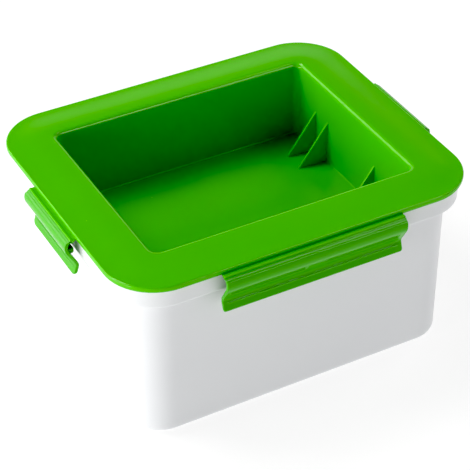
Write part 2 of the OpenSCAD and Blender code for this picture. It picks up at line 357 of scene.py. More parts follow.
def rounded_stations(half: float, r: float, steps: int = 4) -> tuple[Array, Array]:
    """Stations of a prism whose ends are rounded by a quarter circle.

    Args:
        half: half the length.
        r: radius of the rounding.
        steps: faces in the rounding.

    Returns:
        Stations from end to end and the inset at each, r times 1 less the sine of the turn.
    """
    turn = np.linspace(0, math.pi / 2, steps + 1)
    support = half - r - 0.25
    place = np.append(half - r + r * np.cos(turn), support)
    inset = np.append(r * (1 - np.sin(turn)), 0.0)
    return np.concatenate([-place, place[::-1]]), np.concatenate([inset, inset[::-1]])


def rib(corners: Section, length: float, end_round: float = 0.3, steps: int = 4) -> Shell:
    """A straight rib whose long edges and ends are rounded.

    Args:
        corners: its section as (out, up, radius), from a point on a straight side round to it.
        length: its length.
        end_round: radius of its ends.
        steps: faces in the rounding of an end.

    Returns:
        The shell, with x out, y along the rib and z up.
    """
    loop = anticlockwise(filleted(corners, steps=3, support=0.1))
    return prism(loop, *rounded_stations(length / 2, end_round, steps))


def on_side(shell: Shell, side: Side) -> Shell:
    """Places a shell drawn with x out from the lid's edge, y along it and z up from its top."""
    return shell.moved(side.edge, 0.0, LID_TOP).turned(side.value)


def make_piece(name: str, shell: Shell, material: bpy.types.Material) -> bpy.types.Object:
    """Makes a smooth-shaded object of a shell, with doubles merged and faces pointing out.

    Args:
        name: the piece's name.
        shell: its surface in mm.
        material: its finish.

    Returns:
        The object, at the origin, with its place in its mesh.
    """
    mesh = bpy.data.meshes.new(name)
    mesh.from_pydata((shell.points * MM).tolist(), [], shell.faces)
    bm = bmesh.new()
    bm.from_mesh(mesh)
    bmesh.ops.remove_doubles(bm, verts=bm.verts, dist=2e-6)
    bmesh.ops.dissolve_degenerate(bm, edges=bm.edges, dist=1e-7)
    bmesh.ops.recalc_face_normals(bm, faces=bm.faces)
    bm.to_mesh(mesh)
    bm.free()
    mesh.polygons.foreach_set("use_smooth", [True] * len(mesh.polygons))
    mesh.materials.append(material)
    piece = bpy.data.objects.new(name, mesh)
    bpy.context.scene.collection.objects.link(piece)
    log.info("%s: %d faces", name, len(mesh.polygons))
    return piece


def sharpen(piece: bpy.types.Object, degrees: float) -> None:
    """Marks sharp edges as creases in the shading.

    Args:
        piece: whose edges they are.
        degrees: the angle past which an edge is sharp.
    """
    mesh = piece.data
    bm = bmesh.new()
    bm.from_mesh(mesh)
    limit = math.radians(degrees)
    for edge in bm.edges:
        edge.smooth = not (edge.is_manifold and edge.calc_face_angle(0.0) > limit)
    bm.to_mesh(mesh)
    bm.free()

def stand_in(
    shells: dict[str, Shell],
    finish: bpy.types.Material,
    body: str,
    node: str,
    crease: float | None = None,
) -> None:
    """Makes the pieces that stand for one node.

    Args:
        shells: the pieces' names and surfaces.
        finish: their material.
        body: what they ride on.
        node: what they stand for.
        crease: the angle past which their edges are sharp, where they have such edges.
    """
    for name, shell in shells.items():
        piece = make_piece(name, shell, finish)
        if crease is not None:
            sharpen(piece, crease)
        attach(piece, body)
        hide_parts(node)


# ---------------------------------------------------------------- finishes


@dataclass
class NodeSheet:
    """A node tree that is being drawn."""

    tree: bpy.types.NodeTree

    def add(self, kind: str, **settings: object) -> bpy.types.Node:
        """Adds a node.

        Args:
            kind: the node's type.
            **settings: properties and their values.

        Returns:
            The node.
        """
        node = self.tree.nodes.new(kind)
        for key, value in settings.items():
            setattr(node, key, value)
        return node

    def feed(self, node: bpy.types.Node, values: dict[str | int, object]) -> bpy.types.Node:
        """Links or sets inputs of a node.

        Args:
            node: the node.
            values: for each input a socket, which is linked to it, or a value.

        Returns:
            The node.
        """
        for key, value in values.items():
            if isinstance(value, Socket):
                self.tree.links.new(value, node.inputs[key])
            else:
                node.inputs[key].default_value = value
        return node

    def math(
        self, operation: str, a: object, b: object = None, c: object = None, clamp: bool = False
    ) -> Socket:
        """Adds a Math node whose inputs are sockets or numbers.

        Args:
            operation: the Math node's operation.
            a: first input.
            b: second input, where there is one.
            c: third input, where there is one.
            clamp: whether the result is kept between 0 and 1.

        Returns:
            The result's socket.
        """
        node = self.add("ShaderNodeMath", operation=operation, use_clamp=clamp)
        given = {i: value for i, value in enumerate((a, b, c)) if value is not None}
        return self.feed(node, given).outputs[0]

    def scaled(self, vector: Socket, factors: tuple[float, float, float]) -> Socket:
        """Stretches coordinates by a factor along each axis."""
        node = self.add("ShaderNodeVectorMath", operation="MULTIPLY")
        return self.feed(node, {0: vector, 1: factors}).outputs[0]

    def noise(self, vector: Socket, **values: object) -> Socket:
        """Adds a noise texture with its own input values."""
        node = self.add("ShaderNodeTexNoise")
        return self.feed(node, {"Vector": vector, **values}).outputs["Fac"]

    def mixed(self, share: Socket, a: object, b: object) -> Socket:
        """Mixes two colours.

        Args:
            share: how much of the second colour shows.
            a: first colour, a socket or three numbers.
            b: second colour.

        Returns:
            The mixed colour.
        """
        node = self.add("ShaderNodeMix", data_type="RGBA")
        a, b = (value if isinstance(value, Socket) else (*value, 1.0) for value in (a, b))
        colour_a, colour_b, result = 6, 7, 2
        return self.feed(node, {"Factor": share, colour_a: a, colour_b: b}).outputs[result]

    def soft_range(
        self, value: Socket, start: tuple[float, float], end: tuple[float, float]
    ) -> Socket:
        """Maps a range onto another with a smooth step.

        Args:
            value: what is mapped.
            start: the range it comes from.
            end: the range it goes to.

        Returns:
            The mapped value.
        """
        node = self.add("ShaderNodeMapRange", interpolation_type="SMOOTHSTEP")
        names = ("From Min", "From Max", "To Min", "To Max")
        return self.feed(node, {"Value": value, **dict(zip(names, (*start, *end)))}).outputs[0]

    def put_out(self, value: Socket) -> None:
        """Links a value to a group's only output."""
        self.feed(self.tree.nodes["out"], {0: value})


def shared_group(
    name: str, output: str, **values: float
) -> tuple[NodeSheet, bpy.types.NodeOutputs]:
    """Makes a node group with a vector input, float inputs and one float output.

    Args:
        name: the group's name.
        output: the output's name.
        **values: the float inputs and their values.

    Returns:
        The group's sheet and what its Group Input node gives.
    """
    tree = bpy.data.node_groups.new(name, "ShaderNodeTree")
    face = tree.interface
    face.new_socket("Vector", in_out="INPUT", socket_type="NodeSocketVector")
    for key, value in values.items():
        socket = face.new_socket(key, in_out="INPUT", socket_type="NodeSocketFloat")
        socket.default_value = value
    face.new_socket(output, in_out="OUTPUT", socket_type="NodeSocketFloat")
    tree.nodes.new("NodeGroupOutput").name = "out"
    return NodeSheet(tree), tree.nodes.new("NodeGroupInput").outputs


def moulding_flow() -> None:
    """Slow change of shade where the melt flowed: soft noise, stretched along the long side."""
    sheet, given = shared_group("moulding_flow", "Mask", Scale=20.0)
    along = sheet.scaled(given["Vector"], (0.6, 1.0, 1.3))
    noise = sheet.noise(along, Scale=given["Scale"], Detail=3.0, Roughness=0.45)
    sheet.put_out(sheet.math("MULTIPLY_ADD", noise, 2.2, -0.6, clamp=True))


def mould_grain() -> None:
    """The fine orange-peel of a moulded face: two sizes of noise, one on the other."""
    sheet, given = shared_group("mould_grain", "Height", Scale=900.0)
    fine, broad = (
        sheet.noise(
            given["Vector"], Scale=sheet.math("MULTIPLY", given["Scale"], share), Detail=detail
        )
        for share, detail in ((1.0, 2.0), (0.22, 1.0))
    )
    sheet.put_out(sheet.math("ADD", fine, sheet.math("MULTIPLY", broad, 1.6)))


def surface_specks() -> None:
    """Small raised specks in the moulding: cells of which only a share hold a round dot."""
    sheet, given = shared_group("surface_specks", "Mask", Scale=160.0, Size=0.08, Share=0.2)
    cells = sheet.add("ShaderNodeTexVoronoi", feature="F1")
    sheet.feed(cells, {"Vector": given["Vector"], "Scale": given["Scale"]})
    split = sheet.feed(sheet.add("ShaderNodeSeparateColor"), {"Color": cells.outputs["Color"]})
    chosen = sheet.math("LESS_THAN", split.outputs[0], given["Share"])
    reach = sheet.math("MULTIPLY", given["Size"], sheet.math("ADD", split.outputs[1], 0.35))
    far = sheet.math("DIVIDE", cells.outputs["Distance"], reach)
    dot = sheet.math("SUBTRACT", 1.0, far, clamp=True)
    sheet.put_out(sheet.math("MULTIPLY", dot, chosen, clamp=True))


def handling_scuffs() -> None:
    """Hairline scuffs from washing and stacking: thin crests of stretched, warped noise."""
    sheet, given = shared_group("handling_scuffs", "Mask", Scale=70.0)
    across = sheet.scaled(given["Vector"], (1.0, 7.0, 4.0))
    noise = sheet.noise(across, Scale=given["Scale"], Detail=4.0, Distortion=0.8)
    crest = sheet.math("ABSOLUTE", sheet.math("SUBTRACT", noise, 0.5))
    thin = sheet.math("SUBTRACT", 1.0, sheet.math("MULTIPLY", crest, 45.0), clamp=True)
    above = sheet.math("SUBTRACT", sheet.noise(given["Vector"], Scale=14.0), 0.5)
    here = sheet.math("MULTIPLY", above, 4.0, clamp=True)
    sheet.put_out(sheet.math("MULTIPLY", thin, here))


@dataclass(frozen=True)
class MouldedPlastic:
    """A moulded plastic or silicone: its colours, gloss, depth of light and fine texture."""

    name: str
    colour: tuple[float, float, float]
    deep: tuple[float, float, float]
    speck: tuple[float, float, float]
    roughness: float
    specular: float = 0.5
    depth: float = 0.0
    depth_scale: float = 0.002
    depth_radius: tuple[float, float, float] = (1.0, 1.0, 1.0)
    grain_scale: float = 900.0
    grain_height: float = 0.00001
    flow_scale: float = 22.0
    flow_rough: float = 0.05
    speck_scale: float = 170.0
    speck_size: float = 0.07
    speck_share: float = 0.12
    speck_height: float = 6.0
    scuff_scale: float = 60.0
    scuff_depth: float = 0.4
    scuff_rough: float = 0.12

    def build(self) -> bpy.types.Material:
        """Draws the material's nodes.

        Returns:
            The material.
        """
        material = bpy.data.materials.new(self.name)
        material.use_nodes = True
        sheet = NodeSheet(material.node_tree)
        place = sheet.add("ShaderNodeTexCoord").outputs["Object"]

        def effect(name: str, **values: float) -> Socket:
            """Places a shared group with its own values."""
            node = sheet.add("ShaderNodeGroup", node_tree=bpy.data.node_groups[name])
            return sheet.feed(node, {"Vector": place, **values}).outputs[0]

        flow = effect("moulding_flow", Scale=self.flow_scale)
        grain = effect("mould_grain", Scale=self.grain_scale)
        specks = effect(
            "surface_specks", Scale=self.speck_scale, Size=self.speck_size, Share=self.speck_share
        )
        scuffs = effect("handling_scuffs", Scale=self.scuff_scale)

        tone = sheet.mixed(flow, self.colour, self.deep)
        rough = sheet.math("MULTIPLY_ADD", flow, self.flow_rough, self.roughness)
        worn = sheet.math("MULTIPLY", scuffs, self.scuff_rough)
        relief = sheet.math("ADD", grain, sheet.math("MULTIPLY", specks, self.speck_height))
        relief = sheet.math("SUBTRACT", relief, sheet.math("MULTIPLY", scuffs, self.scuff_depth))
        bump = sheet.feed(
            sheet.add("ShaderNodeBump"),
            {"Strength": 1.0, "Distance": self.grain_height, "Height": relief},
        )
        sheet.feed(
            material.node_tree.nodes["Principled BSDF"],
            {
                "Base Color": sheet.mixed(specks, tone, self.speck),
                "Roughness": sheet.math("ADD", rough, worn, clamp=True),
                "Normal": bump.outputs["Normal"],
                "Specular IOR Level": self.specular,
                "Subsurface Weight": self.depth,
                "Subsurface Scale": self.depth_scale,
                "Subsurface Radius": self.depth_radius,
            },
        )
        return material


LID_GREEN = MouldedPlastic(
    name="lid_green",
    colour=(0.104, 0.516, 0.0150),
    deep=(0.093, 0.486, 0.0125),
    speck=(0.25, 0.75, 0.15),
    roughness=0.13,
    specular=0.35,
    depth=0.12,
    depth_scale=0.0015,
    depth_radius=(0.25, 1.0, 0.1),
)
LATCH_GREEN = MouldedPlastic(
    name="latch_green",
    colour=(0.080, 0.435, 0.020),
    deep=(0.071, 0.400, 0.016),
    speck=(0.20, 0.62, 0.10),
    roughness=0.11,
    specular=0.32,
    depth=0.25,
    depth_scale=0.002,
    depth_radius=(0.35, 1.0, 0.15),
    grain_scale=1200.0,
    speck_share=0.03,
)
TUB_WHITE = MouldedPlastic(
    name="tub_white",
    colour=(0.80, 0.81, 0.82),
    deep=(0.775, 0.785, 0.80),
    speck=(0.70, 0.71, 0.72),
    roughness=0.38,
    specular=0.4,
    depth=0.10,
    depth_scale=0.003,
    speck_share=0.02,
    flow_scale=12.0,
)
DRAINER_WHITE = MouldedPlastic(
    name="drainer_white",
    colour=(0.76, 0.78, 0.78),
    deep=(0.72, 0.745, 0.745),
    speck=(0.66, 0.68, 0.68),
    roughness=0.42,
    specular=0.4,
    depth=0.10,
    depth_scale=0.003,
    speck_share=0.02,
)
SEAL_SILICONE = MouldedPlastic(
    name="seal_silicone",
    colour=(0.62, 0.70, 0.60),
    deep=(0.55, 0.64, 0.54),
    speck=(0.50, 0.56, 0.50),
    roughness=0.55,
    specular=0.3,
    depth=0.30,
    depth_scale=0.003,
    grain_scale=1600.0,
    speck_share=0.05,
)

# ---------------------------------------------------------------- the tub


@dataclass
class Tub:
    """The white tub: tapered wall on a foot ring, with a wide hanging band round its rim."""

    top: float = 81.9
    base_out: float = 15.5
    base_round: float = 2.5
    top_out: float = 16.1
    wall: float = 2.0
    floor_top: float = 3.0
    floor_round: float = 1.8
    foot_ring: float = 1.0
    foot_in: float = 10.0
    foot_slope: float = 1.0
    neck_round: float = 1.2
    band_in: float = 19.7
    band_out: float = 21.5
    band_bottom: float = 72.6
    band_round: float = 0.8
    rim_plate: float = 1.8
    rim_round: float = 0.7
    lug_length: float = 30.5
    lug_sunk: float = 0.6
    lug_out: float = -1.3
    lug_top: float = -6.2
    lug_nose: float = -9.5
    lug_low: float = -10.3

    def shell(self) -> Shell:
        """The moulding, from the middle of its underside round the band and down to its floor."""
        plate = self.top - self.rim_plate
        section = filleted(
            [
                (0.0, self.foot_ring, 0),
                (self.foot_in - self.foot_slope, self.foot_ring, 0.4),
                (self.foot_in, 0.0, 0.3),
                (self.base_out, 0.0, self.base_round),
                (self.top_out, plate, self.neck_round),
                (self.band_in, plate, self.band_round),
                (self.band_in, self.band_bottom, self.band_round),
                (self.band_out, self.band_bottom, self.band_round),
                (self.band_out, self.top, self.rim_round),
                (self.top_out - self.wall, self.top, self.rim_round),
                (self.base_out - self.wall, self.floor_top, self.floor_round),
                (0.0, self.floor_top, 0),
            ]
        )
        return Shell.from_rows(OUTLINE.rows(RIM_CORE, section))

    def lugs(self) -> Shell:
        """The wedges on the band that the latches' ribs catch below."""
        band_face = self.band_out + RIM_CORE.half_x - LID_HALF.half_x
        root = band_face - self.lug_sunk
        seam = -8.0
        wedge = rib(
            [
                (root, seam, 0),
                (root, self.lug_top, 0.1),
                (band_face, self.lug_top - 0.1, 0.1),
                (self.lug_out, self.lug_nose, 0.2),
                (self.lug_out, self.lug_low, 0.2),
                (root, self.lug_low, 0.1),
                (root, seam - 0.1, 0),
            ],
            self.lug_length,
        )
        sides = (Side.FRONT, Side.REAR, Side.LEFT, Side.RIGHT)
        return joined(
            [on_side(wedge.moved(0, y, 0), side) for side in sides for y in side.catch_places]
        )

    def build(self, finish: bpy.types.Material) -> None:
        """Makes the tub's pieces."""
        shells = {"tub_shell": self.shell(), "tub_lugs": self.lugs()}
        stand_in(shells, finish, "tub", "outer_tub")


# ---------------------------------------------------------------- the drainer basket


@dataclass
class Drainer:
    """The perforated basket that holds the block over the sump."""

    base: float = 8.0
    inside: float = 10.0
    top: float = 77.5
    wall: float = 1.6
    lean: float = 0.6
    flange: float = 5.0
    inner_x: float = 66.1
    inner_y: float = 52.1
    pitch_x: float = 11.6
    pitch_y: float = 11.4
    count_x: int = 10
    count_y: int = 8
    hole: float = 4.4
    edge_break: float = 0.3
    splits: int = 6
    foot: float = 6.0
    foot_low: float = 3.0
    foot_round: float = 0.6
    foot_faces: int = 32
    feet_x: tuple[int, ...] = (-4, 0, 4)
    feet_y: tuple[int, ...] = (-3, 0, 3)

    def core(self) -> Core:
        """The rectangle of the field of holes."""
        return Core(self.pitch_x * self.count_x / 2, self.pitch_y * self.count_y / 2)

    def wall_shell(self) -> Shell:
        """Floor margin, wall and rim flange, from the field of holes below to the field above."""
        core = self.core()
        outline = Outline.make(
            np.linspace(-1, 1, self.count_x * self.splits + 1),
            np.linspace(-1, 1, self.count_y * self.splits + 1),
            per_corner=10,
        )
        out_x = self.inner_x - core.half_x
        thick = out_x + self.wall
        section = filleted(
            [
                (0.0, self.base, 0),
                (thick - self.lean, self.base, 1.2),
                (thick, self.top - self.wall, 0.8),
                (thick + self.flange, self.top - self.wall, 0.5),
                (thick + self.flange, self.top, 0.5),
                (out_x, self.top, 0.6),
                (out_x - self.lean, self.inside, 1.4),
                (0.0, self.inside, 0),
            ],
            steps=5,
        )
        rows = outline.rows(core, section)
        # The short way across needs its own distance out, so y is stretched outside the field.
        out_y = self.inner_y - core.half_y
        beyond = np.abs(rows[..., 1]) - core.half_y
        grow = np.clip(beyond / out_x, 0, 1) * (out_y - out_x)
        rows[..., 1] += np.sign(rows[..., 1]) * np.where(beyond > 0, grow, 0)
        return Shell.from_rows(rows, caps=False)

    def hole_field(self) -> Shell:
        """Every cell of the floor: a square that turns into a round hole through the floor.

        Round a cell, each point of the square goes to the point of the circle that lies at its
        angle; between the two lie straight lines.
        """
        core = self.core()
        n = self.splits
        edge = np.linspace(-1, 1, n + 1)[:-1]
        ones = np.ones_like(edge)
        square = np.concatenate(
            [np.stack(p, 1) for p in ((edge, -ones), (ones, edge), (-edge, ones), (-ones, -edge))]
        ) * np.array([self.pitch_x / 2, self.pitch_y / 2])
        angle = np.arctan2(square[:, 1] / self.pitch_y, square[:, 0] / self.pitch_x)
        round_way = units(angle)
        r, c = self.hole / 2, self.edge_break
        rings = [
            (square, self.inside),
            (round_way * (r + c), self.inside),
            (round_way * r, self.inside - c),
            (round_way * r, self.base + c),
            (round_way * (r + c), self.base),
            (square, self.base),
        ]
        cell = np.stack([np.concatenate([p, np.full((len(p), 1), z)], 1) for p, z in rings])
        x = -core.half_x + (np.arange(self.count_x) + 0.5) * self.pitch_x
        y = -core.half_y + (np.arange(self.count_y) + 0.5) * self.pitch_y
        shells = [Shell.from_rows(cell, caps=False).moved(a, b, 0) for a in x for b in y]
        return joined(shells)

    def feet(self) -> Shell:
        """The round feet between the holes, each a short post with a rounded tip.

        A post is its section's distance out times the unit vectors round a circle.
        """
        r, sunk = self.foot / 2, 0.2
        section = filleted(
            [
                (0.01, self.foot_low, 0),
                (r, self.foot_low, self.foot_round),
                (r, self.base + sunk, 0),
            ],
            steps=4,
        )
        turn = np.linspace(0, 2 * math.pi, self.foot_faces + 1)[:-1]
        flat = section[:, None, :1] * units(turn)[None]
        height = np.broadcast_to(section[:, None, 1:], flat.shape[:2] + (1,))
        post = Shell.from_rows(np.concatenate([flat, height], axis=2))
        return joined(
            [
                post.moved(x * self.pitch_x, y * self.pitch_y, 0)
                for x in self.feet_x
                for y in self.feet_y
            ]
        )

    def build(self, finish: bpy.types.Material) -> None:
        """Makes the basket's pieces."""
        body = joined([self.wall_shell(), self.hole_field()])
        shells = {"drainer_body": body, "drainer_feet": self.feet()}
        stand_in(shells, finish, "basket", "drain_basket", crease=35.0)

# ---------------------------------------------------------------- the lid


@dataclass
class PressLid:
    """The green lid: plate, stepped edge, deep well, gussets, hinge strips and plug rim."""

    top: float = LID_TOP
    under: float = 82.2
    corner: float = 23.5
    crown_width: float = 15.5
    crown_fall: float = 0.55
    edge_round: float = 0.7
    edge_depth: float = 3.3
    edge_step: float = 0.4
    edge_step_up: float = 1.0
    crown_end: float = 0.06
    skirt_in: float = 21.8
    well_r: float = 3.5
    well_floor: float = 47.4
    well_lean: float = 0.656
    well_wall: float = 1.8
    floor_round: float = 0.7
    mouth_round: float = 2.4
    mouth_margin: float = 3.2
    plunger_round: float = 2.5
    plug_out: float = 13.7
    plug_wall: float = 1.6
    plug_low: float = 78.2
    seal_in: float = 16.5
    seal_out: float = 19.7
    seal_roof: float = 83.4
    gusset_height: float = 20.8
    gusset_reach: float = 15.0
    gusset_thickness: float = 1.2
    gusset_rear: float = 27.4
    gusset_front: float = -23.2
    gusset_spacing: float = 10.6
    gusset_sunk: float = 0.6
    seat: float = 0.65

    def crown(self) -> Array:
        """The falling band along the edge: a soft S, three t squared less two t cubed."""
        start, end = self.corner - self.crown_width, self.corner - self.edge_round
        share = np.linspace(0, 1, 18)
        fall = self.crown_fall * share**2 * (3 - 2 * share)
        return np.stack([start + (end - start) * share, self.top - fall], 1)

    def shell(self) -> Shell:
        """The moulding, from the well's floor over the edge to the plunger's face."""
        low = self.well_r - self.well_lean
        well = filleted(
            [
                (0.0, self.well_floor, 0),
                (low, self.well_floor, self.floor_round),
                (self.well_r, self.top, self.mouth_round),
                (self.well_r + self.mouth_margin, self.top, 0),
            ],
            steps=10,
        )
        shoulder = self.top - self.crown_fall
        centre = np.array([self.corner - self.edge_round, shoulder - self.edge_round])
        edge_turn = np.linspace(math.pi / 2 - self.crown_end, 0, 8)
        edge = centre + self.edge_round * units(edge_turn)
        lip = self.top - self.edge_depth
        step, plug_in = self.corner - self.edge_step, self.plug_out - self.plug_wall
        under = filleted(
            [
                (self.corner, centre[1] - 0.1, 0),
                (self.corner, lip + self.edge_step_up, 0.15),
                (step, lip + self.edge_step_up - 0.2, 0.15),
                (step, lip, 0.3),
                (self.skirt_in, lip, 0.15),
                (self.skirt_in, self.under, 0.2),
                (self.seal_out, self.under, 0.15),
                (self.seal_out, self.seal_roof, 0.2),
                (self.seal_in, self.seal_roof, 0.2),
                (self.seal_in, self.under, 0.15),
                (self.plug_out, self.under, 0.3),
                (self.plug_out, self.plug_low, 0.5),
                (plug_in, self.plug_low, 0.5),
                (plug_in, self.under, 0.4),
                (plug_in - 1.0, self.under, 0),
            ],
            steps=4,
            support=0.12,
        )
        outer_r = self.well_r + self.well_wall
        face = self.well_floor - self.well_wall
        plunger = filleted(
            [
                (outer_r + 1.6, self.under, 0),
                (outer_r, self.under, 1.0),
                (outer_r - self.well_lean, face, self.plunger_round),
                (0.0, face, 0),
            ],
            steps=8,
        )
        rows = [
            OUTLINE.rows(MOUTH_CORE, well) + np.array(MOUTH_SHIFT),
            OUTLINE.rows(RIM_CORE, np.concatenate([self.crown(), edge, under])),
            OUTLINE.rows(WELL_CORE, plunger),
        ]
        return Shell.from_rows(np.concatenate(rows))

    def gussets(self) -> Shell:
        """The triangular blades that stay the well's end walls, with softly rounded edges.

        They are sunk into floor and wall, and follow the wall's lean as they rise.
        """
        wall = WELL_CORE.half_x + self.well_r - self.well_lean
        rise = self.gusset_height * self.well_lean / (self.top - self.well_floor)
        floor, sunk = self.well_floor, self.gusset_sunk
        tip = wall - self.gusset_reach
        blade = rib(
            [
                (wall, floor - sunk, 0),
                (wall + sunk, floor - sunk, 0.05),
                (wall + rise + sunk, floor + self.gusset_height + 0.2, 0.1),
                (wall + rise - 0.2, floor + self.gusset_height, 0.2),
                (tip, floor - 0.05, 0.2),
                (tip, floor - sunk, 0.05),
                (wall - 0.1, floor - sunk, 0),
            ],
            self.gusset_thickness,
            end_round=0.18,
            steps=3,
        )
        shells = []
        for pair in (self.gusset_rear, self.gusset_front):
            for way in (-0.5, 0.5):
                one = blade.moved(0, pair + way * self.gusset_spacing, 0)
                shells += [one, one.mirrored_x()]
        return joined(shells)

    def hinge_loop(self) -> Array:
        """Section of a hinge strip: a groove, a ridge, and a concave seat for the bead.

        Its corners are distances out from the lid's edge and up from its top.

        Returns:
            The loop, anticlockwise.
        """
        seat = arc(HINGE, self.seat, np.linspace(106, 223, 12))
        top = filleted(
            [
                (-1.0, -2.8, 0),
                (-1.0, -2.45, 0.1),
                (0.3, -2.6, 0.2),
                (1.1, -2.6, 0.25),
                (1.6, -2.4, 0.22),
                (2.2, -2.45, 0.22),
                (2.5, -2.93, 0),
            ],
            steps=5,
            support=0.08,
        )
        low = filleted(
            [
                (2.2, -4.1, 0),
                (1.9, -4.4, 0.12),
                (0.5, -3.9, 0.3),
                (-0.4, -3.1, 0.1),
                (-1.0, -2.4, 0),
            ],
            steps=3,
            support=0.1,
        )
        return anticlockwise(np.concatenate([top, seat, low]))

    def hinge_strips(self) -> Shell:
        """The four strips along the edge that carry the latches."""
        loop = self.hinge_loop()
        shells = []
        for side in Side:
            stations, inset = rounded_stations(side.latch_length / 2, 0.25)
            shells.append(on_side(prism(loop, stations, inset), side))
        return joined(shells)

    def build(self, finish: bpy.types.Material) -> None:
        """Makes the lid's pieces."""
        shells = {
            "lid_shell": self.shell(),
            "well_gussets": self.gussets(),
            "hinge_strips": self.hinge_strips(),
        }
        stand_in(shells, finish, "lid", "press_lid")

@dataclass
class Seal:
    """The silicone ring in the lid's channel: two soft beads joined by a web."""

    low: float = 81.95
    high: float = 83.38
    inner: float = 16.6
    outer: float = 19.6
    seam: float = 82.7
    groove: float = 0.35

    def shell(self) -> Shell:
        """The ring, with its section closed on itself."""
        middle, web = (self.inner + self.outer) / 2, self.low + self.groove
        section = filleted(
            [
                (self.inner, self.seam, 0),
                (self.inner, self.low, 0.4),
                (middle - self.groove, self.low, 0.3),
                (middle - 0.2, web, 0.12),
                (middle + 0.2, web, 0.12),
                (middle + self.groove, self.low, 0.3),
                (self.outer, self.low, 0.4),
                (self.outer, self.high, 0.3),
                (self.inner, self.high, 0.3),
                (self.inner, self.seam + 0.05, 0),
            ],
            steps=4,
            support=0.08,
        )
        closed = np.concatenate([section, section[:1]])
        return Shell.from_rows(OUTLINE.rows(RIM_CORE, closed), caps=False)

    def build(self, finish: bpy.types.Material) -> None:
        """Makes the seal's piece."""
        stand_in({"seal_ring": self.shell()}, finish, "lid", "lid_seal")

# ---------------------------------------------------------------- the latches


def soft_step(share: Array) -> Array:
    """A step from 0 to 1 over shares -1 to 1, with level ends: 3 t squared less 2 t cubed."""
    t = np.clip(share * 0.5 + 0.5, 0, 1)
    return t * t * (3 - 2 * t)


@dataclass(frozen=True)
class MiddleLine:
    """The line down the middle of a latch's wall, point by point, and the pocket's middle on it.

    Normals are outward angles in degrees. A point's share of the lip is 0 above the lip and 1 at
    its tip. The bump is how far the lip's bead stands out beside each point of the lip.
    """

    points: Array
    normals: Array
    lip_share: Array
    lip_bump: Array
    pocket: Array


